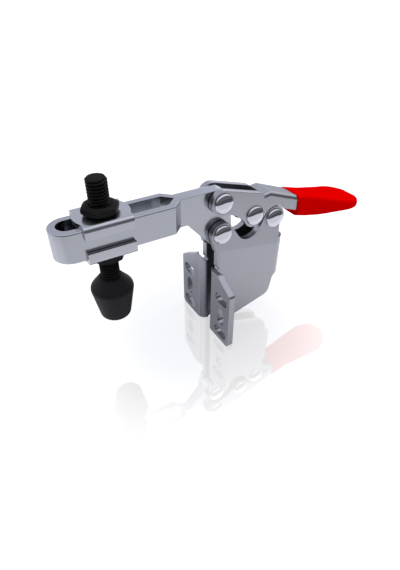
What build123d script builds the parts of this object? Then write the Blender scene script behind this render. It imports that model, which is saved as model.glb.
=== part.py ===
from build123d import *
from math import acos, atan2, cos, hypot, radians, sin, tan
import os

# Horizontal-handle toggle clamp with a front-mounted base.
# Millimetres, +Z up, +X towards the handle. The mounting face is the plane X = 0, Y = 0 is the
# middle of the clamp, and Z = 0 is the centre of the mounting slots.
# Points on the side view are (x, height above the flanges' foot).

# Mounting flanges
slot_rows = 20.0             # height between the top and bottom slots
slot_spacing = 29.2          # across, between the slots of the two flanges
slot_width = 5.2
slot_length = 9.6
foot_drop = 14.8             # from the slot centre down to the flanges' bottom edge
flange_half_width = 21.5
flange_outer_height = 30.6
flange_inner_height = 36.6
flange_peak_y = 10.8         # where the slanted top edge begins
flange_corner = 1.8

# Base sheet
sheet = 3.0
plate_half = 6.4             # outer face of the side plates above the crease
bend_radius = 1.0            # inside of each bend
crease_height = 46.2         # at the mounting face
crease_slope = 9.5           # degrees, falling to the rear
plate_lean = 1.0             # degrees the plates close up below the crease
plate_front = 2.8            # front edge above the flanges
rear_face = 41.4
shoulder_height = 43.2
ear_d_radius = 5.4
ear_c_radius = 5.7
valley_radius = 6.3
relief_radius = 1.0
underside_front = 0.8        # height of the plates' bottom edge behind the flanges
underside_rear = 9.9
underside_round = 4.6
heel_height = 21.6           # bottom of the rear web
heel_reach = 4.2             # from the rear face forwards to the step under the web

# Pivots: D joins arm and base, A arm and handle, B handle and links, C links and base
pivot_x = 5.2                # A and D, behind the mounting face
pivot_d_height = 54.2
pivot_a_rise = 14.8          # A above D
pivot_b_reach = 16.9         # B, C and the hollow between the ears, behind D
pivot_c_reach = 28.3
valley_reach = 14.2
pivot_b_rise = 4.8           # and above it
pivot_c_rise = 0.6
pin_radius = 2.5
bush_radius = 3.6
pin_clearance = 0.05         # running fit of a rivet in a bush
press_clearance = 0.01       # rivets and bushes in their own plates
head_radius = 4.6
head_height = 2.0
head_rim = 0.5

# Arm
arm_half = 3.0               # half its thickness at the pivots
arm_height = 12.4
bar = 3.0                    # thickness of the bent bar
arm_front_half = 7.2         # half width of the slotted front
joggle_rear = -13.4
joggle_front = -17.8
tip_centre = -58.4
arm_a_radius = 5.0
arm_d_radius = 6.8
arm_neck = -10.4             # where the underside turns down to pivot D
arm_edge = 0.5               # rounding of the bar's long edges

# Handle
handle_sheet = 3.0
handle_end_radius = 5.6      # round ends at pivots A and B
handle_waist = 3.1           # depth of the waist below the line from A to B
arch_gap = 0.45              # between the rear ear and the arch over it
plate_tip_reach = 2.9        # where the side plates' top edges end, behind B
plate_tip_rise = 10.0        # and above it
web_reach = 4.5              # front edge of the web, behind B
web_rise = 8.9
crest_reach = 8.3            # top of the web, where the handle starts to fall
crest_rise = 9.4
web_bend = 1.8               # outside radius of the channel's corners
handle_slope = 20.6          # degrees the handle falls behind the crest
handle_depth = 6.6           # height of the channel behind pivot C
handle_end = 58.0            # the tapered tail ends inside the grip

# Grip
grip_front = 47.0
grip_flare = 57.0            # where its plan starts to widen
grip_end = 90.6
grip_front_half = 7.0
grip_end_radius = 11.2
grip_cover = 0.25            # over the handle at its front face
grip_slope = 15.6            # degrees its top falls to the rear
grip_front_thick = 9.0
grip_end_thick = 5.2
grip_edge = 2.4

# Links
link_thickness = 3.0
link_gap = 0.1               # between the two links
link_radius = 5.0

# Spindle set
thread_radius = 4.0
spindle_x = -45.2
spindle_top = 89.7
spindle_end = 31.0           # inside the rubber tip
nut_across_flats = 13.0
nut_height = 4.0
nut_crown_radius = 5.2       # flat round top inside its chamfer
nut_chamfer = 0.4            # on the washer's side
washer_length = 19.2
washer_round = 11.0          # radius of its rounded ends
washer_sheet = 1.7
washer_drop = 5.2            # full height of a flanged washer
washer_bend = 2.0
tip_top = 47.0
tip_shoulder = 42.0          # height of its widest part
tip_bottom = 26.6
tip_radius = 9.2
tip_end_radius = 6.3
tip_crown_radius = 4.9
tip_round = 3.0              # rounding of its widest part
bore_clearance = 0.05
guide_clearance = 0.3        # flanged washer to arm, at the sides
slide_gap = 0.1              # flanged washer to arm, above and below

pivot_d = (pivot_x, pivot_d_height)
pivot_a = (pivot_x, pivot_d_height + pivot_a_rise)
pivot_b = (pivot_x + pivot_b_reach, pivot_d_height + pivot_b_rise)
pivot_c = (pivot_x + pivot_c_reach, pivot_d_height + pivot_c_rise)
valley = (pivot_x + valley_reach, pivot_d_height)
plate_inner = plate_half - sheet
slot_half = arm_front_half - bar
arm_top = pivot_a[1] + arm_a_radius
arm_bottom = arm_top - arm_height
outer_bend = bend_radius + sheet
rear_x = rear_face - outer_bend          # where the plates turn into the rear web


def lift(height):
    """Z of a height above the foot."""
    return height - foot_drop


def across(outline, y_low, y_high):
    """Extrude a side-view outline from y_low to y_high."""
    face = Plane.XZ.offset(-y_low) * outline
    return Pos(0, 0, -foot_drop) * extrude(face, amount=-(y_high - y_low))


def disc(centre, radius):
    """A filled circle on the side view."""
    return Pos(*centre) * Circle(radius)


def pillar(centre, radius, y_low, y_high):
    """A cylinder along Y at a pivot."""
    return across(disc(centre, radius), y_low, y_high)


def poly(*points):
    """A face from corner points."""
    return make_face(Polyline(*points, close=True))


def rounded(face, radius, *corners):
    """The face with the named corners rounded."""
    near = [v for v in face.vertices() if any(hypot(v.X - x, v.Y - z) < 0.01 for x, z in corners)]
    return fillet(near, radius)


def tangent(c1, r1, c2, r2, side, crossing=False):
    """Touch points of a common tangent of two circles. side is 1 on the left from c1 to c2."""
    sign = -1 if crossing else 1
    span = hypot(c2[0] - c1[0], c2[1] - c1[1])
    angle = atan2(c2[1] - c1[1], c2[0] - c1[0]) + side * acos((r1 - sign * r2) / span)
    ux, uz = cos(angle), sin(angle)
    return (c1[0] + r1 * ux, c1[1] + r1 * uz), (c2[0] + sign * r2 * ux, c2[1] + sign * r2 * uz)


def both_sides(solid):
    """The solid and its mirror image across Y = 0."""
    return solid + mirror(solid, about=Plane.XZ)


# ---------------------------------------------------------------- base

def plate_outline():
    """Side plate: two ears with a hollow between them, a rear shoulder and a sloping underside."""
    front_low = (plate_front, (flange_inner_height + pivot_d[1] - ear_d_radius) / 2)
    d_low, _ = tangent(pivot_d, ear_d_radius, front_low, 0, -1)
    d_high, v_left = tangent(pivot_d, ear_d_radius, valley, valley_radius, 1, crossing=True)
    c_left, v_right = tangent(pivot_c, ear_c_radius, valley, valley_radius, -1, crossing=True)
    under = (rear_face - heel_reach - 1.9, underside_rear)
    step = (rear_face - heel_reach, heel_height - 1.2)
    heel = (rear_face, heel_height)
    body = poly((plate_front, 0.4), (outer_bend, underside_front), under, step, heel,
                (rear_face, shoulder_height), (rear_x, shoulder_height), (rear_x, pivot_c[1]), pivot_c,
                c_left, v_right, v_left, d_high, pivot_d, d_low, front_low)
    body = rounded(body, underside_round, under)
    body = rounded(body, underside_round / 2, step)
    body = rounded(body, underside_round / 4, heel)
    body = body + disc(pivot_d, ear_d_radius) + disc(pivot_c, ear_c_radius)
    return body - disc(valley, valley_radius)


def flange_outline():
    """Both flanges in Y and height, without their slots."""
    half = [(0, 0), (flange_half_width, 0), (flange_half_width, flange_outer_height),
            (flange_peak_y, flange_inner_height), (0, flange_inner_height)]
    outline = rounded(poly(*half), flange_corner, *half[1:3])
    return rounded(outline, 2 * flange_corner, half[3])


def slot(y, height, along_y):
    """A cutter for one mounting slot."""
    shape = SlotOverall(slot_length, slot_width, rotation=0 if along_y else 90)
    return Pos(-1, 0, 0) * extrude(Plane.YZ * Pos(y, lift(height)) * shape, amount=sheet + 2)


def quarter_bend(x, y, quadrant):
    """Plan of one 90 degree bend about (x, y), in a quadrant given as a pair of signs."""
    ring = Circle(outer_bend) - Circle(bend_radius)
    corner = Pos(quadrant[0] * outer_bend / 2, quadrant[1] * outer_bend / 2) * Rectangle(
        outer_bend, outer_bend)
    return Pos(x, y) * (ring & corner)


def bent_section():
    """Plan of one side at the foot: flange, front bend, plate, rear bend and the rear web."""
    lean = tan(radians(plate_lean))
    toe = lean * tan(radians(crease_slope))
    inner = plate_inner - crease_height * lean + toe * outer_bend
    inner_rear = inner + toe * (rear_x - outer_bend)
    leg = poly((outer_bend, inner), (rear_x, inner_rear), (rear_x, inner_rear + sheet),
               (outer_bend, inner + sheet))
    reach = flange_half_width + outer_bend
    flange_y = inner + outer_bend
    flange = Pos(sheet / 2, (flange_y + reach) / 2) * Rectangle(sheet, reach - flange_y)
    web_y = inner_rear + sheet - outer_bend
    web = Pos(rear_face - sheet / 2, web_y / 2 - 1) * Rectangle(sheet, web_y + 2)
    return leg + flange + quarter_bend(outer_bend, flange_y, (-1, -1)) + quarter_bend(
        rear_x, web_y, (1, 1)) + web


def make_base():
    """Folded base: two flanges, side plates creased along their length, and a rear web."""
    outline = plate_outline()
    far = 3 * flange_half_width
    tall = 2 * crease_height
    fall = tan(radians(crease_slope))
    crease_rear = crease_height - fall * rear_x
    below = across(poly((-1, -1), (far, -1), (far, crease_rear), (rear_x, crease_rear),
                        (-1, crease_height + fall)), -1, far)
    lean = Vector(0, tan(radians(plate_lean)) * tall, tall)
    folded = Solid.extrude((Pos(0, 0, -foot_drop) * bent_section()).face(), lean)
    flange = Pos(-1, 0, 0) * extrude(Plane.YZ * Pos(0, -foot_drop) * flange_outline(),
                                     amount=1 + outer_bend)
    behind = across(poly((outer_bend, -1), (far, -1), (far, tall), (outer_bend, tall)), -1, far)
    front = across(poly((plate_front, flange_inner_height), (outer_bend, flange_inner_height),
                        (outer_bend, tall), (plate_front, tall)), plate_inner - 1, plate_half)
    side = folded & below & (flange + (across(outline, -1, plate_half + 1) & behind) + front)
    rear_room = across(poly((rear_x, 0), (far, 0), (far, shoulder_height), (rear_x, shoulder_height)),
                       plate_inner - 1, plate_half)
    side = side + (across(outline, plate_inner, plate_half) - below - rear_room)
    web_y = plate_half - outer_bend
    corner = quarter_bend(rear_x, web_y, (1, 1)) + Pos(rear_face - sheet / 2, web_y / 2) * Rectangle(
        sheet, web_y)
    column = extrude(Pos(0, 0, -foot_drop) * corner, amount=shoulder_height)
    side = side + ((column & across(outline, -1, plate_half)) - below)
    side = side - pillar((plate_front, flange_inner_height), relief_radius,
                         0, plate_half + outer_bend)
    for centre in (pivot_c, pivot_d):
        side = side - pillar(centre, pin_radius + press_clearance, 0, plate_half + 1)
    for row in (-1, 0, 1):
        side = side - slot(slot_spacing / 2, foot_drop + row * slot_rows / 2, row != 0)
    return both_sides(side)


# ---------------------------------------------------------------- arm

def arm_plan():
    """The bar bent round the tip and joggled together at the rear, seen from above."""
    shift = bar * tan(atan2(arm_front_half - arm_half, joggle_rear - joggle_front) / 2)
    front, inner = joggle_front, slot_half
    outer = poly((0, -arm_half), (0, arm_half), (joggle_rear, arm_half), (front, arm_front_half),
                 (tip_centre, arm_front_half), (tip_centre, -arm_front_half),
                 (front, -arm_front_half), (joggle_rear, -arm_half))
    hole = poly((joggle_rear - shift, 0), (front - shift, inner), (tip_centre, inner),
                (tip_centre, -inner), (front - shift, -inner))
    outer = outer + disc((tip_centre, 0), arm_front_half)
    return outer - (hole + disc((tip_centre, 0), inner))


def make_arm():
    """Slotted arm: hairpin front, joggle, and a tall rear end that carries pivots A and D."""
    front = extrude(Pos(0, 0, lift(arm_bottom)) * arm_plan(), amount=arm_height)
    far = tip_centre - 2 * arm_front_half
    front = front & across(poly((far, 0), (arm_neck, 0), (arm_neck, 2 * arm_top), (far, 2 * arm_top)),
                           -2 * arm_front_half, 2 * arm_front_half)
    long_edges = [e for e in front.edges() if abs(e.tangent_at(0.5).Z) < 0.1
                  and e.center().X < arm_neck - 0.1 and abs(e.center().Y) > slot_half + 0.1]
    front = fillet(long_edges, arm_edge)
    d_front, _ = tangent(pivot_d, arm_d_radius, (arm_neck, arm_bottom), 0, 1)
    a_rear, d_rear = tangent(pivot_a, arm_a_radius, pivot_d, arm_d_radius, 1)
    rear = poly((arm_neck, arm_top), (pivot_a[0], arm_top), pivot_a, a_rear, d_rear, pivot_d, d_front,
                (arm_neck, arm_bottom))
    rear = rear + disc(pivot_a, arm_a_radius) + disc(pivot_d, arm_d_radius)
    arm = front + across(rear, -arm_half, arm_half)
    for centre in (pivot_a, pivot_d):
        arm = arm - pillar(centre, bush_radius + press_clearance, -arm_half, arm_half)
    return arm


# ---------------------------------------------------------------- handle and grip

def handle_at(x, below=0.0):
    """Point at x on the handle's falling top line, or on a line parallel to it below."""
    slope = radians(handle_slope)
    return x, pivot_b[1] + crest_rise - (x - pivot_b[0] - crest_reach) * tan(slope) - below / cos(slope)


def waist_circle():
    """Circle hollowing the handle between A and B, touching both round ends."""
    ax, az = pivot_a
    bx, bz = pivot_b
    span = hypot(bx - ax, bz - az)
    end, depth = handle_end_radius, handle_waist
    radius = (span ** 2 / 4 - end ** 2 + depth ** 2) / (2 * (end - depth))
    drop = (depth + radius) / span
    return ((ax + bx) / 2 + drop * (bz - az), (az + bz) / 2 - drop * (bx - ax)), radius


def grip_top(x):
    """Height of the grip's top face at x."""
    return handle_at(grip_front)[1] + grip_cover - tan(radians(grip_slope)) * (x - grip_front)


def grip_bottom(x):
    """Height of the grip's underside at x."""
    share = (x - grip_front) / (grip_end - grip_front)
    return grip_top(x) - grip_front_thick + (grip_front_thick - grip_end_thick) * share


def web_line():
    """Top line of the web: its front edge, its crest and its end inside the grip."""
    return ((pivot_b[0] + web_reach, pivot_b[1] + web_rise), handle_at(pivot_b[0] + crest_reach),
            handle_at(handle_end))


def handle_outline():
    """Side of the handle: round ends at A and B, a waist, an arch over the rear ear, and the tail."""
    plate_tip = (pivot_b[0] + plate_tip_reach, pivot_b[1] + plate_tip_rise)
    top_a, _ = tangent(pivot_a, handle_end_radius, plate_tip, 0, 1)
    arch_low = handle_at(pivot_c[0] + 2, handle_depth)
    knee = handle_at(grip_front + 1, handle_depth)
    tail = (handle_end, grip_bottom(handle_end) + 1.2)
    body = poly(pivot_a, top_a, plate_tip, *web_line(), tail, knee, arch_low, pivot_c, pivot_b)
    centre, radius = waist_circle()
    share = handle_end_radius / (handle_end_radius + radius)
    touch = [(p[0] + share * (centre[0] - p[0]), p[1] + share * (centre[1] - p[1]))
             for p in (pivot_a, pivot_b)]
    fill = poly(pivot_a, pivot_b, touch[1], touch[0]) - disc(centre, radius)
    body = body - disc(pivot_c, ear_c_radius + arch_gap)
    return body + fill + disc(pivot_a, handle_end_radius) + disc(pivot_b, handle_end_radius)


def make_handle():
    """Folded channel handle, open below, with its top web starting behind pivot B."""
    solid = across(handle_outline(), -plate_half, plate_half)
    inner = plate_half - handle_sheet
    edge, crest, end = web_line()
    high, far = 2 * arm_top, 2 * handle_end
    hollow = poly((-far, 0), (-far, high), (edge[0], high), edge, (edge[0], edge[1] - handle_sheet),
                  handle_at(crest[0], handle_sheet), handle_at(far, handle_sheet), (far, 0))
    solid = solid - across(hollow, -inner, inner)
    square = Rectangle(web_bend, web_bend, align=(Align.MAX, Align.MAX))
    shaver = Pos(plate_half, 0) * (square - Pos(-web_bend, -web_bend) * Circle(web_bend))
    for start, stop in ((edge, crest), (crest, end)):
        run = Vector(stop[0] - start[0], 0, stop[1] - start[1])
        plane = Plane(origin=(start[0], 0, lift(start[1])), x_dir=(0, 1, 0), z_dir=run)
        shave = extrude(plane * shaver, amount=run.length)
        solid = solid - shave - mirror(shave, about=Plane.XZ)
    for centre in (pivot_a, pivot_b):
        solid = solid - pillar(centre, pin_radius + press_clearance, -plate_half - 1, plate_half + 1)
    return solid


def make_grip(handle):
    """Moulded paddle grip over the handle's tail: widening to a round end, and thinner there."""
    centre = (grip_end - grip_end_radius, 0)
    front, flare = (grip_front, grip_front_half), (grip_flare, grip_front_half)
    _, side = tangent(flare, 0, centre, grip_end_radius, 1)
    plan = poly(front, flare, side, centre, (side[0], -side[1]), (flare[0], -flare[1]),
                (front[0], -front[1]))
    plan = rounded(plan, 2 * grip_end_radius, flare, (flare[0], -flare[1]))
    plan = plan + disc(centre, grip_end_radius)
    profile = poly((grip_front, grip_bottom(grip_front)), (grip_end, grip_bottom(grip_end)),
                   (grip_end, grip_top(grip_end)), (grip_front, grip_top(grip_front)))
    grip = extrude(Pos(0, 0, -foot_drop) * plan, amount=2 * arm_top)
    grip = grip & across(profile, -2 * grip_end_radius, 2 * grip_end_radius)
    rim = [e for e in grip.edges() if e.center().X > grip_front + 0.1 and abs(e.tangent_at(0.5).Z) < 0.5]
    return fillet(rim, grip_edge) - handle


# ---------------------------------------------------------------- links and pivots

def make_link(side):
    """One of the two links between pivots B and C."""
    near, far = link_gap / 2, link_gap / 2 + link_thickness
    low, high = sorted((side * near, side * far))
    top = tangent(pivot_b, link_radius, pivot_c, link_radius, 1)
    under = tangent(pivot_b, link_radius, pivot_c, link_radius, -1)
    outline = poly(top[0], top[1], under[1], under[0])
    link = across(outline + disc(pivot_b, link_radius) + disc(pivot_c, link_radius), low, high)
    for centre in (pivot_b, pivot_c):
        link = link - pillar(centre, bush_radius + press_clearance, low, high)
    return link


def make_bush(centre, half):
    """Bush that a rivet runs in."""
    return pillar(centre, bush_radius, -half, half) - pillar(centre, pin_radius + pin_clearance,
                                                             -half, half)


def rivet_head(centre, side):
    """Domed rivet head with a thin rim, on the outside of a plate."""
    dome = head_height - head_rim
    sphere = (head_radius ** 2 + dome ** 2) / (2 * dome)
    cap = Pos(0, 0, head_height - sphere) * Sphere(sphere) & Pos(0, 0, head_rim) * Cylinder(
        head_radius, head_height, align=(Align.CENTER, Align.CENTER, Align.MIN))
    head = cap + extrude(Circle(head_radius), amount=head_rim)
    return Pos(centre[0], side * plate_half, lift(centre[1])) * Rotation(-90 * side, 0, 0) * head


def make_rivet(centre, gap=0.0):
    """Rivet through both plates. A gap leaves out the middle of its shank."""
    shank = pillar(centre, pin_radius, -plate_half, plate_half)
    if gap:
        shank = shank - pillar(centre, 2 * pin_radius, -gap, gap)
    return shank + rivet_head(centre, 1) + rivet_head(centre, -1)


# ---------------------------------------------------------------- spindle set

def at_spindle(shape, height=0.0):
    """Stand a shape on the spindle's axis at a height above the foot."""
    return Pos(spindle_x, 0, lift(height)) * shape


def make_spindle():
    """Spindle as a plain rod of the thread's outside diameter."""
    rod = extrude(Circle(thread_radius), amount=spindle_top - spindle_end)
    return at_spindle(chamfer(rod.edges().filter_by(GeomType.CIRCLE), 0.6), spindle_end)


def make_rubber_tip(spindle):
    """Inverted cone with a rounded shoulder, moulded over the spindle's end."""
    profile = poly((0, tip_bottom), (tip_end_radius, tip_bottom), (tip_radius, tip_shoulder),
                   (tip_crown_radius, tip_top), (0, tip_top))
    profile = rounded(profile, 0.8 * tip_round, (tip_end_radius, tip_bottom))
    profile = rounded(profile, tip_round, (tip_radius, tip_shoulder))
    profile = rounded(profile, tip_round / 5, (tip_crown_radius, tip_top))
    return at_spindle(revolve(Plane.XZ * profile, Axis.Z)) - spindle


def make_nut():
    """Thin hex nut standing on Z = 0, with a wide chamfer round its top."""
    corner = nut_across_flats / 2 / cos(radians(30))
    fall = (corner - nut_crown_radius) * tan(radians(30))
    bore = thread_radius + bore_clearance
    profile = poly((bore, 0), (corner - nut_chamfer, 0), (corner, nut_chamfer),
                   (corner, nut_height - fall), (nut_crown_radius, nut_height), (bore, nut_height))
    hexagon = extrude(RegularPolygon(nut_across_flats / 2, 6, major_radius=False), amount=nut_height)
    return hexagon & revolve(Plane.XZ * profile, Axis.Z)


def make_washer():
    """Washer with round ends and its two sides folded down over the arm. Its top face is at Z = 0."""
    inner = arm_front_half + guide_clearance
    outer = inner + washer_sheet
    top = (Align.CENTER, Align.MAX)
    section = Rectangle(2 * outer, washer_drop, align=top)
    section = section - Pos(0, -washer_sheet) * Rectangle(2 * inner, washer_drop, align=top)
    section = rounded(section, washer_bend, (outer, 0), (-outer, 0))
    body = extrude(Plane.YZ * section, amount=washer_length / 2, both=True)
    ends = Circle(washer_round) & Rectangle(2 * washer_round, 2 * (outer - washer_bend))
    body = body + extrude(ends, amount=-washer_sheet)
    return body - extrude(Circle(thread_radius + 4 * bore_clearance), amount=2 * washer_sheet, both=True)


# ---------------------------------------------------------------- assembly

def build_parts():
    """Every piece by name."""
    handle = make_handle()
    spindle = make_spindle()
    washer, nut = make_washer(), make_nut()
    flipped = Rotation(180, 0, 0)
    washer_top = arm_top + slide_gap + washer_sheet
    washer_low = arm_bottom - slide_gap - washer_sheet
    link_half = link_gap / 2 + link_thickness
    return {
        "base": make_base(),
        "rivet_c": make_rivet(pivot_c),
        "rivet_d": make_rivet(pivot_d),
        "arm": make_arm(),
        "bush_a": make_bush(pivot_a, arm_half),
        "bush_d": make_bush(pivot_d, arm_half),
        "handle": handle,
        "grip": make_grip(handle),
        "rivet_a": make_rivet(pivot_a, plate_inner),
        "rivet_b": make_rivet(pivot_b),
        "link_left": make_link(1),
        "link_right": make_link(-1),
        "bush_b": make_bush(pivot_b, link_half),
        "bush_c": make_bush(pivot_c, link_half),
        "upper_washer": at_spindle(washer, washer_top),
        "lower_washer": at_spindle(flipped * washer, washer_low),
        "upper_nut": at_spindle(nut, washer_top),
        "lower_nut": at_spindle(flipped * nut, washer_low),
        "spindle": spindle,
        "rubber_tip": make_rubber_tip(spindle),
    }


def main():
    os.makedirs("parts", exist_ok=True)
    for name, shape in build_parts().items():
        export_step(shape, f"parts/{name}.step")


main()
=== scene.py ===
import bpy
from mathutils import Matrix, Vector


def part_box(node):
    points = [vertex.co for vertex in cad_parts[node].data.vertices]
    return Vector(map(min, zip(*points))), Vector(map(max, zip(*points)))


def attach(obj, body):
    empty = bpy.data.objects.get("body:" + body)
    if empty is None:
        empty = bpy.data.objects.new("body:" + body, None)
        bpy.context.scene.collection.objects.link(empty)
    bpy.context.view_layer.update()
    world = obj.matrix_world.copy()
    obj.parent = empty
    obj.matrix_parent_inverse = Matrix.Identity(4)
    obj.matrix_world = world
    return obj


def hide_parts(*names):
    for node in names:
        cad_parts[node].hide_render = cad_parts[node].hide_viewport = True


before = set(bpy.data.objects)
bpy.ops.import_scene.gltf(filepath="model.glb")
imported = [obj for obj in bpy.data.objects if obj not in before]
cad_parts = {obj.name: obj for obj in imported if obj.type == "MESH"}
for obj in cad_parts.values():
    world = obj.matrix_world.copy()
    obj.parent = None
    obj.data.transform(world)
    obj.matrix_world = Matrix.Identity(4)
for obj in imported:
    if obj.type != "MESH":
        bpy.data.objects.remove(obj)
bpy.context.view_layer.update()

from math import asin, atan2, cos, pi, radians, sin, tan

import bmesh
import bpy
from mathutils import Euler, Vector

# Sizes in metres, in the row frame: the origin is the centre of the mounting slots.
FOOT_Z = -0.0148
SPINDLE_X = -0.0452
JOIN_DISTANCE = 1e-7         # vertices closer than this are one

THREAD_RADIUS = 0.0040
THREAD_PITCH = 0.00125
THREAD_DEPTH = 0.00070
# Outline of one pitch of the thread, as shares of the pitch and of the depth.
THREAD_PROFILE = ((0.00, 0.0), (0.12, 0.0), (0.46, 1.0), (0.58, 1.0), (0.92, 0.0))
THREAD_STEPS = 56            # round the spindle

PLATE_HALF = 0.0064          # outer faces of the side plates, under the rivets' heads
PLATE_INNER = 0.0034         # their inner faces, where rivet A's two halves end
SHANK_RADIUS = 0.0025
HEAD_RIM = 0.0003            # straight side of a head, under its dome
DOME_POWER = 0.86            # below 1, so a dome is fuller than an ellipse
DOME_STEPS = 24
DOME_TIP = 1e-6              # radius of a dome's last ring
RIVET_STEPS = 48             # round a rivet
RIVET_SHARP = 50.0           # degrees

NUT_STEPS = 72               # round a nut
NUT_BORE = 0.00405           # just clear of the thread
NUT_CROWN = 0.0052           # radius where its chamfers start
NUT_CHAMFER = 30.0           # degrees
NUT_SHARP = 20.0             # degrees

GRIP_FRONT_HALF = 0.0070
GRIP_FLARE = 0.010           # from its front to where it starts to widen
GRIP_FALL = 15.6             # degrees its top falls to the rear
GRIP_TIP_RISE = 0.0008       # its top turns up by this at the end
GRIP_RISE_SPAN = (0.60, 1.0)     # shares of its length over which it turns up
GRIP_THICK_FRONT = 0.0105
GRIP_THICK_END = 0.0044
GRIP_THIN_SPAN = (0.14, 0.90)    # shares of its length over which it gets thinner
GRIP_EDGE = 0.0018
GRIP_EDGE_DEEP = 0.49        # an edge's radius is at most this share of the thickness
GRIP_EDGE_WIDE = 0.9         # and at most this share of the half width
GRIP_DISH = 0.0012
GRIP_STEPS = 56              # along its length
GRIP_END_STEPS = 12          # in the last of them, for the round end
GRIP_END_GAP = 1e-5          # from its last section to its end
GRIP_TOP_STEPS = 12
GRIP_CORNER_STEPS = 6
GRIP_SHARP = 60.0            # degrees

# The side plates' crease: its height at the mounting face, and how much it falls towards the rear.
CREASE_Z = 0.0314
CREASE_FALL = 0.167
CREASE_BLUR = 0.0002
# Painted light, a paler tone below it, starts at the bends behind the flanges and is full a little
# further on.
PAINTED_LIGHT_FRONT = 0.0035
PAINTED_LIGHT_BLUR = 0.002

CAMERA_AT = (-0.0859, -0.1414, 0.1361)
CAMERA_DOWN = 37.44          # degrees below the horizon
CAMERA_AZIMUTH = -30.51      # degrees, 0 looks along +Y
CAMERA_LENS = 27.09
SENSOR = 36.0
CLIP_NEAR = 0.01

# Places of the two lamps, and the place that they are turned to.
KEY_AT = (0.62, 0.22, 0.45)
TOP_AT = (-0.10, -0.05, 0.90)
LAMP_AIM = (0.0, 0.0, 0.03)

WHITE = (1.0, 1.0, 1.0)
AMBIENT = 0.75               # strength of the plain light on the object
AMBIENT_COLOR = (0.88, 0.91, 1.0)
# Surround in reflections: its colour by height above the horizon plus a share of the distance to the
# back, so the front is dark up to about 40 degrees and the back is pale from the horizon.
SKY_TILT = 0.75
SKY = ((0.08, (0.16, 0.16, 0.17)), (0.26, (0.95, 0.96, 1.05)), (0.62, (0.94, 0.96, 1.07)),
       (0.80, (1.30, 1.32, 1.46)), (0.98, (0.95, 0.97, 1.09)), (1.00, (0.68, 0.70, 0.80)))

# The floor's own colour for the camera, and its pale and dark colours for every other ray.
FLOOR_SEEN = (0.34, 0.33, 0.31)
FLOOR_PALE = (0.80, 0.80, 0.82)
FLOOR_DARK = (0.10, 0.10, 0.11)
FLOOR_HALF = 3.0
# Middle of the floor's painted shade in reflections, in front of the far flange.
UNDER = (-0.012, 0.018)      # middle of its shaded part, in front of the far flange
# Each of these holds two distances, from the floor's middle or from UNDER, and the values at them.
DARK_FAR = (0.19, 0.23, 0.0, 1.0)            # share of the dark colour
# Painted shade: more of the dark colour in reflections around UNDER.
PAINTED_SHADE_UNDER = (0.022, 0.050, 0.50, 0.0)       # more of it, from UNDER
GLOW_SEEN = (0.03, 0.08, 1.02, 1.24)         # glow for the camera
# Painted shade: little glow in reflections around UNDER.
GLOW_REFLECTED = (0.022, 0.070, 0.05, 0.50)  # glow in reflections, from UNDER
GLOW_FAR = (0.19, 0.23, 1.0, 0.0)            # what is left of that far away
MIRROR_SHARE = (0.02, 0.08, 0.44, 0.32)      # share of the clear reflection
MIRROR_ROUGHNESS = 0.015

# Softened edges of the sheet metal and of the small parts, and the fine bumps of the surfaces.
SHEET_EDGE = 0.0003
SMALL_EDGE = 0.0002
EDGE_SAMPLES = 6
GRAIN_SCALE = 900.0
GRAIN_DETAIL = 3.0
GRAIN_HEIGHT = 0.0002

BASE_COLOR = (0.37, 0.375, 0.40)
# Painted light: a paler colour on the side plates below their crease, where they turn a little towards
# the floor.
BASE_COLOR_PAINTED_LIGHT = (0.405, 0.410, 0.435)     # on the side plates, below their crease


# ---------------------------------------------------------------- shader nodes

def add_node(tree, kind, values=None, **settings):
    """A shader node. settings belong to the node itself, and values to its inputs, by name or number."""
    node = tree.nodes.new("ShaderNode" + kind)
    for name, value in settings.items():
        setattr(node, name, value)
    for name, value in (values or {}).items():
        node.inputs[name].default_value = value
    return node


def combine(tree, operation, first, second, clamp=False):
    """Socket with two sockets added or multiplied."""
    node = add_node(tree, "Math", operation=operation, use_clamp=clamp)
    tree.links.new(first, node.inputs[0])
    tree.links.new(second, node.inputs[1])
    return node.outputs["Value"]


def along(tree, place, direction):
    """Socket with the dot product of a place and a direction."""
    node = add_node(tree, "VectorMath", {1: direction}, operation="DOT_PRODUCT")
    tree.links.new(place, node.inputs[0])
    return node.outputs["Value"]


def graded(tree, measure, near, beyond, low=0.0, high=1.0, curve="LINEAR"):
    """Socket that goes from low to high while a measure goes from near to beyond."""
    limits = {"From Min": near, "From Max": beyond, "To Min": low, "To Max": high}
    node = add_node(tree, "MapRange", limits, interpolation_type=curve)
    tree.links.new(measure, node.inputs["Value"])
    return node.outputs["Result"]


def blend(tree, factor, first, second):
    """Socket with the mix of two colours, which are plain colours or sockets."""
    node = add_node(tree, "Mix", data_type="RGBA")
    tree.links.new(factor, node.inputs["Factor"])
    for name, color in (("A", first), ("B", second)):
        if isinstance(color, tuple):
            node.inputs[name].default_value = (*color, 1.0)
        else:
            tree.links.new(color, node.inputs[name])
    return node.outputs["Result"]


def mix_shaders(tree, factor, first, second):
    """Socket with the mix of two shaders."""
    node = add_node(tree, "MixShader")
    for i, socket in enumerate((factor, first, second)):
        tree.links.new(socket, node.inputs[i])
    return node.outputs["Shader"]


def ray_kind(tree, *kinds):
    """Socket that is 1 for rays of the given kinds and 0 for the others."""
    path = add_node(tree, "LightPath")
    socket = path.outputs[kinds[0]]
    for kind in kinds[1:]:
        socket = combine(tree, "ADD", socket, path.outputs[kind], clamp=True)
    return socket


# ---------------------------------------------------------------- materials

def new_material(name):
    """A material with an empty node tree, and its output node."""
    material = bpy.data.materials.new(name)
    material.use_nodes = True
    material.node_tree.nodes.clear()
    return material, material.node_tree, add_node(material.node_tree, "OutputMaterial")


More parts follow.
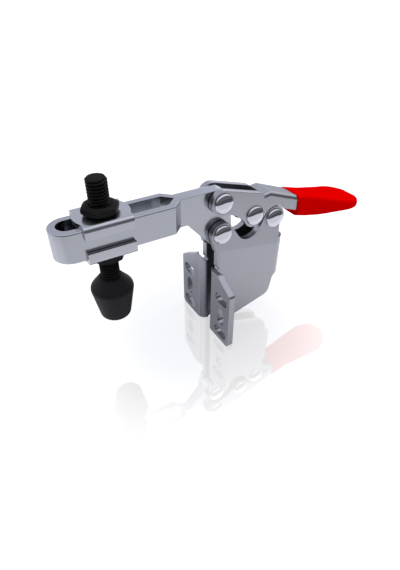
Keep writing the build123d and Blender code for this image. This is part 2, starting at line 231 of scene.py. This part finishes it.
def principled(name, color, metallic, roughness, edge=0.0, grain=0.0, grain_scale=GRAIN_SCALE,
               specular=0.5, rim=1.0):
    """Principled surface with softened edges and fine bumps.

    edge is the radius of the softened edges, grain the strength of the bumps, and rim the tint of a
    metal's reflection at a glancing angle.
    """
    material, tree, out = new_material(name)
    link = tree.links.new
    shader = add_node(tree, "BsdfPrincipled", {
        "Base Color": (*color, 1.0), "Metallic": metallic, "Roughness": roughness,
        "Specular IOR Level": specular, "Specular Tint": (rim, rim, rim, 1.0)})
    link(shader.outputs["BSDF"], out.inputs["Surface"])
    normal = None
    if edge:
        normal = add_node(tree, "Bevel", {"Radius": edge}, samples=EDGE_SAMPLES).outputs["Normal"]
    if grain:
        place = add_node(tree, "TexCoord")
        noise = add_node(tree, "TexNoise", {"Scale": grain_scale, "Detail": GRAIN_DETAIL})
        bump = add_node(tree, "Bump", {"Strength": grain, "Distance": GRAIN_HEIGHT})
        link(place.outputs["Object"], noise.inputs["Vector"])
        link(noise.outputs["Fac"], bump.inputs["Height"])
        if normal:
            link(normal, bump.inputs["Normal"])
        normal = bump.outputs["Normal"]
    if normal:
        link(normal, shader.inputs["Normal"])
    return material


def paint_crease_light(material, color, below):
    """Painted light: a paler colour on the side plates below their crease, where they turn a little
    towards the floor.
    """
    tree = material.node_tree
    shader = next(node for node in tree.nodes if node.type == "BSDF_PRINCIPLED")
    place = add_node(tree, "TexCoord").outputs["Object"]
    rise = along(tree, place, (CREASE_FALL, 0.0, 1.0))
    under = graded(tree, rise, CREASE_Z + CREASE_BLUR, CREASE_Z - CREASE_BLUR)
    rear = along(tree, place, (1.0, 0.0, 0.0))
    behind = graded(tree, rear, PAINTED_LIGHT_FRONT, PAINTED_LIGHT_FRONT + PAINTED_LIGHT_BLUR)
    tone = blend(tree, combine(tree, "MULTIPLY", under, behind), color, below)
    tree.links.new(tone, shader.inputs["Base Color"])


def paint(obj, material):
    """Give a piece one material."""
    obj.data.materials.clear()
    obj.data.materials.append(material)


# ---------------------------------------------------------------- pieces

def ease(value, start, end):
    """0 before start, 1 after end, and an even curve between."""
    share = min(max((value - start) / (end - start), 0.0), 1.0)
    return share * share * (3 - 2 * share)


def mesh_piece(name, verts, faces, sharp=None):
    """A mesh object from vertices and faces, with doubled vertices joined and the faces turned outwards.

    sharp makes it smooth, apart from the edges that bend by more degrees. Without it the faces are flat.
    """
    mesh = bpy.data.meshes.new(name)
    mesh.from_pydata(verts, [], faces)
    shell = bmesh.new()
    shell.from_mesh(mesh)
    bmesh.ops.remove_doubles(shell, verts=shell.verts, dist=JOIN_DISTANCE)
    bmesh.ops.recalc_face_normals(shell, faces=shell.faces)
    shell.to_mesh(mesh)
    shell.free()
    mesh.validate()
    if sharp:
        mesh.polygons.foreach_set("use_smooth", [True] * len(mesh.polygons))
        mesh.set_sharp_from_angle(angle=radians(sharp))
    obj = bpy.data.objects.new(name, mesh)
    bpy.context.scene.collection.objects.link(obj)
    return obj


def closed_skin(first, rings, around):
    """Faces that join rings of vertices, one after another, and close the first and the last."""
    faces = []
    for i in range(rings - 1):
        this, after = first + i * around, first + (i + 1) * around
        faces += [(this + j, after + j, after + (j + 1) % around, this + (j + 1) % around)
                  for j in range(around)]
    last = first + (rings - 1) * around
    return faces + [tuple(range(first, first + around)), tuple(reversed(range(last, last + around)))]


def threaded_spindle():
    """Spindle with a helical V thread, cut square at its ends, where it narrows to a chamfer."""
    box_low, box_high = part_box("spindle")
    low, high = box_low.z, box_high.z
    points = len(THREAD_PROFILE)
    rows = (int((high - low) / THREAD_PITCH) + 2) * points
    root = THREAD_RADIUS - THREAD_DEPTH
    verts, faces = [], []
    for i in range(rows + 1):
        turn, point = divmod(i, points)
        rise, depth = THREAD_PROFILE[point]
        for j in range(THREAD_STEPS):
            angle = 2 * pi * j / THREAD_STEPS
            turns = turn + rise + j / THREAD_STEPS - 1
            z = min(max(low + turns * THREAD_PITCH, low), high)
            r = min(THREAD_RADIUS - THREAD_DEPTH * depth, root + (high - z), root + (z - low))
            verts.append((SPINDLE_X + r * cos(angle), r * sin(angle), z))
    turn_step = points * THREAD_STEPS
    for i in range(rows):
        this, after = i * THREAD_STEPS, (i + 1) * THREAD_STEPS
        faces += [(this + j, this + j + 1, after + j + 1, after + j) for j in range(THREAD_STEPS - 1)]
        if after + turn_step < len(verts):
            faces.append((after - 1, this + turn_step, after + turn_step, after - 1 + THREAD_STEPS))
    for z, first in ((low, 0), (high, len(verts) - THREAD_STEPS)):
        verts.append((SPINDLE_X, 0.0, z))
        centre = len(verts) - 1
        faces += [(first + j, first + (j + 1) % THREAD_STEPS, centre) for j in range(THREAD_STEPS)]
    spindle = mesh_piece("spindle_thread", verts, faces)
    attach(spindle, "spindle")
    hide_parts("spindle")
    return spindle


def turned_rings(centre_x, centre_z, profile):
    """Vertices in rings about an axis along Y, one ring for each (y, radius) of the profile."""
    verts = []
    for y, r in profile:
        for j in range(RIVET_STEPS):
            angle = 2 * pi * j / RIVET_STEPS
            verts.append((centre_x + r * cos(angle), y, centre_z + r * sin(angle)))
    return verts


def dome_rivet(node, body, gap=0.0):
    """Rivet with full domes on its heads, in place of a node. A gap leaves out the shank's middle."""
    low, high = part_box(node)
    centre_x, centre_z = (low.x + high.x) / 2, (low.z + high.z) / 2
    radius = (high.x - low.x) / 2
    rim = PLATE_HALF + HEAD_RIM
    half = [(gap, SHANK_RADIUS)] if gap else []
    half += [(PLATE_HALF, SHANK_RADIUS), (PLATE_HALF, radius), (rim, radius)]
    for k in range(1, DOME_STEPS + 1):
        angle = k / DOME_STEPS * pi / 2
        half.append((rim + (high.y - rim) * sin(angle), max(radius * cos(angle) ** DOME_POWER, DOME_TIP)))
    mirrored = [(-y, r) for y, r in reversed(half)]
    verts, faces = [], []
    for profile in ([mirrored, half] if gap else [mirrored + half]):
        faces += closed_skin(len(verts), len(profile), RIVET_STEPS)
        verts += turned_rings(centre_x, centre_z, profile)
    rivet = mesh_piece(node + "_domes", verts, faces, sharp=RIVET_SHARP)
    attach(rivet, body)
    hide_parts(node)
    return rivet


def hex_nut(node):
    """Hex nut with both faces chamfered to a round crown, in place of a node."""
    low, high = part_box(node)
    centre_x, centre_y = (low.x + high.x) / 2, (low.y + high.y) / 2
    flat_half = min(high.x - low.x, high.y - low.y) / 2
    flat_turn = 360 / 6          # degrees round the nut that one flat takes up
    corner = 0.0 if high.x - low.x > high.y - low.y else flat_turn / 2
    verts, faces = [], []
    for j in range(NUT_STEPS):
        degrees = 360 / NUT_STEPS * j
        edge = flat_half / cos(radians((degrees - corner) % flat_turn - flat_turn / 2))
        drop = max(edge - NUT_CROWN, 0.0) * tan(radians(NUT_CHAMFER))
        outline = ((NUT_BORE, high.z), (NUT_CROWN, high.z), (edge, high.z - drop),
                   (edge, low.z + drop), (NUT_CROWN, low.z), (NUT_BORE, low.z))
        for r, z in outline:
            verts.append((centre_x + r * cos(radians(degrees)), centre_y + r * sin(radians(degrees)), z))
    rings = len(outline)
    for j in range(NUT_STEPS):
        this, after = j * rings, (j + 1) % NUT_STEPS * rings
        faces += [(this + i, this + (i + 1) % rings, after + (i + 1) % rings, after + i)
                  for i in range(rings)]
    nut = mesh_piece(node + "_chamfered", verts, faces, sharp=NUT_SHARP)
    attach(nut, "carriage")
    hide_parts(node)
    return nut


def grip_half_width(x, flare, end, end_radius):
    """Half width of the grip's plan: parallel, widening along a tangent, then a round end."""
    centre = end - end_radius
    reach = ((centre - flare) ** 2 + GRIP_FRONT_HALF ** 2) ** 0.5
    slope = atan2(-GRIP_FRONT_HALF, centre - flare) + asin(end_radius / reach)
    tangent = (reach ** 2 - end_radius ** 2) ** 0.5
    if x < flare:
        return GRIP_FRONT_HALF
    if x < flare + tangent * cos(slope):
        return GRIP_FRONT_HALF + tan(slope) * (x - flare)
    return max(end_radius ** 2 - (x - centre) ** 2, 0.0) ** 0.5


def grip_ring(x, low, high):
    """Points round the grip at one place along it: a dished top and four round corners."""
    share = (x - low.x) / (high.x - low.x)
    half = grip_half_width(x, low.x + GRIP_FLARE, high.x, high.y)
    top = high.z - tan(radians(GRIP_FALL)) * (x - low.x) + GRIP_TIP_RISE * ease(share, *GRIP_RISE_SPAN)
    deep = GRIP_THICK_FRONT + (GRIP_THICK_END - GRIP_THICK_FRONT) * ease(share, *GRIP_THIN_SPAN)
    from_end = high.x - x
    if from_end < GRIP_EDGE:
        nip = GRIP_EDGE - (GRIP_EDGE ** 2 - (GRIP_EDGE - from_end) ** 2) ** 0.5
        top, deep = top - nip, deep - 2 * nip
    bottom = top - deep
    edge = min(GRIP_EDGE, GRIP_EDGE_DEEP * deep, GRIP_EDGE_WIDE * half)
    flat = half - edge
    dish = GRIP_DISH * sin(pi * share) ** 2
    ring = []
    for k in range(GRIP_TOP_STEPS + 1):
        across = 1 - 2 * k / GRIP_TOP_STEPS
        ring.append((x, flat * across, top - dish * cos(across * pi / 2) ** 2))
    for y, z, start in ((-flat, top - edge, 90), (-flat, bottom + edge, 180),
                        (flat, bottom + edge, 270), (flat, top - edge, 0)):
        for k in range(1, GRIP_CORNER_STEPS + 1):
            angle = radians(start + 90 / GRIP_CORNER_STEPS * k)
            ring.append((x, y + edge * cos(angle), z + edge * sin(angle)))
    return ring[:-1]             # the last corner ends on the ring's first point


def dished_grip():
    """Moulded paddle grip with a shallow dish for the thumb, thick at the front and thin at the end."""
    low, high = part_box("grip")
    length = high.x - low.x
    stations = [low.x + length * k / GRIP_STEPS for k in range(GRIP_STEPS)]
    for k in range(1, GRIP_END_STEPS):
        stations.append(high.x - length / GRIP_STEPS * (1 - sin(k / GRIP_END_STEPS * pi / 2)))
    stations.append(high.x - GRIP_END_GAP)
    rings = [grip_ring(x, low, high) for x in stations]
    verts = [point for ring in rings for point in ring]
    faces = closed_skin(0, len(rings), len(rings[0]))
    grip = mesh_piece("grip_dished", verts, faces, sharp=GRIP_SHARP)
    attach(grip, "handle")
    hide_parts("grip")
    return grip


# ---------------------------------------------------------------- stage

def by_distance(tree, place, spread, centre=(0.0, 0.0)):
    """Socket that changes between two distances from a place on the floor."""
    near, beyond, low, high = spread
    far = add_node(tree, "VectorMath", {1: (*centre, FOOT_Z)}, operation="DISTANCE")
    tree.links.new(place, far.inputs[0])
    return graded(tree, far.outputs["Value"], near, beyond, low, high, curve="SMOOTHSTEP")


def floor_material():
    """White floor that keeps the shadow and a faint clear reflection.

    The camera sees its own colour with a glow added. Every other ray sees the pale table, which is darker
    far away and has painted shade, darker and with less glow, in front of the far flange.
    """
    material, tree, out = new_material("floor_white")
    link = tree.links.new
    place = add_node(tree, "TexCoord").outputs["Object"]

    # Share of the dark colour: far away, and as painted shade in front of the far flange.
    dark = combine(tree, "ADD", by_distance(tree, place, DARK_FAR),
                   by_distance(tree, place, PAINTED_SHADE_UNDER, centre=UNDER), clamp=True)
    table = blend(tree, dark, FLOOR_PALE, FLOOR_DARK)
    diffuse = add_node(tree, "BsdfDiffuse")
    link(blend(tree, ray_kind(tree, "Is Camera Ray"), table, FLOOR_SEEN), diffuse.inputs["Color"])

    seen = combine(tree, "MULTIPLY", ray_kind(tree, "Is Camera Ray"), by_distance(tree, place, GLOW_SEEN))
    # Glow in reflections: low in front of the far flange as painted shade, and none far away.
    lit = combine(tree, "MULTIPLY", by_distance(tree, place, GLOW_REFLECTED, centre=UNDER),
                  by_distance(tree, place, GLOW_FAR))
    reflected = combine(tree, "MULTIPLY", ray_kind(tree, "Is Glossy Ray", "Is Transmission Ray"), lit)
    glow = add_node(tree, "Emission")
    link(combine(tree, "ADD", seen, reflected), glow.inputs["Strength"])

    white = add_node(tree, "AddShader")
    link(diffuse.outputs["BSDF"], white.inputs[0])
    link(glow.outputs["Emission"], white.inputs[1])
    mirror = add_node(tree, "BsdfGlossy", {"Roughness": MIRROR_ROUGHNESS})
    surface = mix_shaders(tree, by_distance(tree, place, MIRROR_SHARE), white.outputs["Shader"],
                          mirror.outputs["BSDF"])
    link(surface, out.inputs["Surface"])
    return material


def make_floor():
    """Plain floor that the clamp stands on."""
    corners = [(x * FLOOR_HALF, y * FLOOR_HALF, FOOT_Z) for x, y in ((-1, -1), (1, -1), (1, 1), (-1, 1))]
    floor = mesh_piece("floor", corners, [(0, 1, 2, 3)])
    floor.data.materials.append(floor_material())


def sky_color(tree):
    """Socket with the surround's colour in reflections."""
    direction = add_node(tree, "TexCoord").outputs["Generated"]
    # The ramp runs from 0 to 1, so a height from -1 to 1 is halved and raised by a half.
    raised = add_node(tree, "Math", {1: 0.5})
    tree.links.new(along(tree, direction, (0.0, SKY_TILT / 2, 0.5)), raised.inputs[0])
    ramp = add_node(tree, "ValToRGB")
    tree.links.new(raised.outputs["Value"], ramp.inputs["Fac"])
    stops = ramp.color_ramp.elements
    while len(stops) < len(SKY):
        stops.new(0.5)
    for stop, (height, color) in zip(stops, SKY):
        stop.position = (1 + height) / 2
        stop.color = (*color, 1.0)
    return ramp.outputs["Color"]


def make_world():
    """Studio surround: white for the camera, the sky in reflections, and a plain light on the object."""
    world = bpy.data.worlds.new("studio")
    bpy.context.scene.world = world
    world.use_nodes = True
    tree = world.node_tree
    tree.nodes.clear()
    out = add_node(tree, "OutputWorld")
    ambient = add_node(tree, "Background", {"Color": (*AMBIENT_COLOR, 1.0), "Strength": AMBIENT})
    white = add_node(tree, "Background", {"Color": (*WHITE, 1.0)})
    sky = add_node(tree, "Background")
    tree.links.new(sky_color(tree), sky.inputs["Color"])
    unseen = mix_shaders(tree, ray_kind(tree, "Is Glossy Ray", "Is Transmission Ray"),
                         ambient.outputs["Background"], sky.outputs["Background"])
    surround = mix_shaders(tree, ray_kind(tree, "Is Camera Ray"), unseen, white.outputs["Background"])
    tree.links.new(surround, out.inputs["Surface"])


def soft_lamp(name, at, size, power, color=WHITE):
    """A square soft lamp that is turned to the clamp and doesn't show in reflections."""
    data = bpy.data.lights.new(name, "AREA")
    data.shape = "SQUARE"
    data.size = size
    data.energy = power
    data.color = color
    lamp = bpy.data.objects.new(name, data)
    bpy.context.scene.collection.objects.link(lamp)
    lamp.location = at
    lamp.rotation_euler = (Vector(LAMP_AIM) - Vector(at)).to_track_quat("-Z", "Y").to_euler()
    lamp.visible_glossy = False


def make_camera():
    """The camera at the photograph's viewing angle."""
    data = bpy.data.cameras.new("camera")
    data.sensor_width = SENSOR
    data.lens = CAMERA_LENS
    data.clip_start = CLIP_NEAR
    camera = bpy.data.objects.new("camera", data)
    bpy.context.scene.collection.objects.link(camera)
    camera.location = CAMERA_AT
    camera.rotation_euler = Euler((radians(90 - CAMERA_DOWN), 0.0, radians(CAMERA_AZIMUTH)))
    bpy.context.scene.camera = camera


# ---------------------------------------------------------------- build

zinc = principled("zinc_plate", (0.42, 0.425, 0.45), metallic=1.0, roughness=0.30,
                  edge=SHEET_EDGE, grain=0.05)
zinc_arm = principled("zinc_arm", (0.45, 0.46, 0.49), metallic=1.0, roughness=0.20,
                      edge=SHEET_EDGE, grain=0.04)
zinc_base = principled("zinc_base", BASE_COLOR, metallic=1.0, roughness=0.30,
                       edge=SHEET_EDGE, grain=0.05)
# Painted light: a paler colour on the base's side plates below their crease.
paint_crease_light(zinc_base, BASE_COLOR, BASE_COLOR_PAINTED_LIGHT)
bright = principled("bright_rivet", (0.64, 0.64, 0.68), metallic=1.0, roughness=0.07, grain=0.02)
bush = principled("bush_steel", (0.25, 0.25, 0.27), metallic=1.0, roughness=0.35)
washer = principled("washer_steel", (0.50, 0.51, 0.54), metallic=1.0, roughness=0.25,
                    edge=SMALL_EDGE, grain=0.05)
dark = principled("dark_steel", (0.017, 0.017, 0.0165), metallic=0.8, roughness=0.36,
                  edge=SMALL_EDGE, grain=0.05, specular=0.15, rim=0.45)
rubber = principled("black_rubber", (0.010, 0.010, 0.0103), metallic=0.0, roughness=0.50,
                    grain=0.06, specular=0.15)
red = principled("red_grip", (0.85, 0.0, 0.0), metallic=0.0, roughness=0.50,
                 grain=0.05, grain_scale=1500.0, specular=0.0)

looks = (
    (zinc_base, "zinc_plate", ("base",)),
    (zinc, "zinc_plate", ("handle", "link_left", "link_right")),
    (zinc_arm, "zinc_plate_arm", ("arm",)),
    (bright, "bright_rivet", ("rivet_a", "rivet_b", "rivet_c", "rivet_d")),
    (bush, "hardened_bush", ("bush_a", "bush_b", "bush_c", "bush_d")),
    (washer, "washer_steel", ("upper_washer", "lower_washer")),
    (rubber, "black_rubber", ("rubber_tip",)),
)
for material, slot_name, nodes in looks:
    for node in nodes:
        paint(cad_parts[node], material)

for node, body, gap in (("rivet_a", "handle", PLATE_INNER), ("rivet_b", "handle", 0.0),
                        ("rivet_c", "base", 0.0), ("rivet_d", "base", 0.0)):
    paint(dome_rivet(node, body, gap), bright)
paint(dished_grip(), red)
for node in ("upper_nut", "lower_nut"):
    paint(hex_nut(node), dark)
paint(threaded_spindle(), dark)

make_floor()
make_world()
make_camera()
soft_lamp("key", KEY_AT, size=0.35, power=1.6)
soft_lamp("top", TOP_AT, size=0.7, power=0.7, color=(0.94, 0.96, 1.0))

scene = bpy.context.scene
scene.view_settings.view_transform = "Standard"
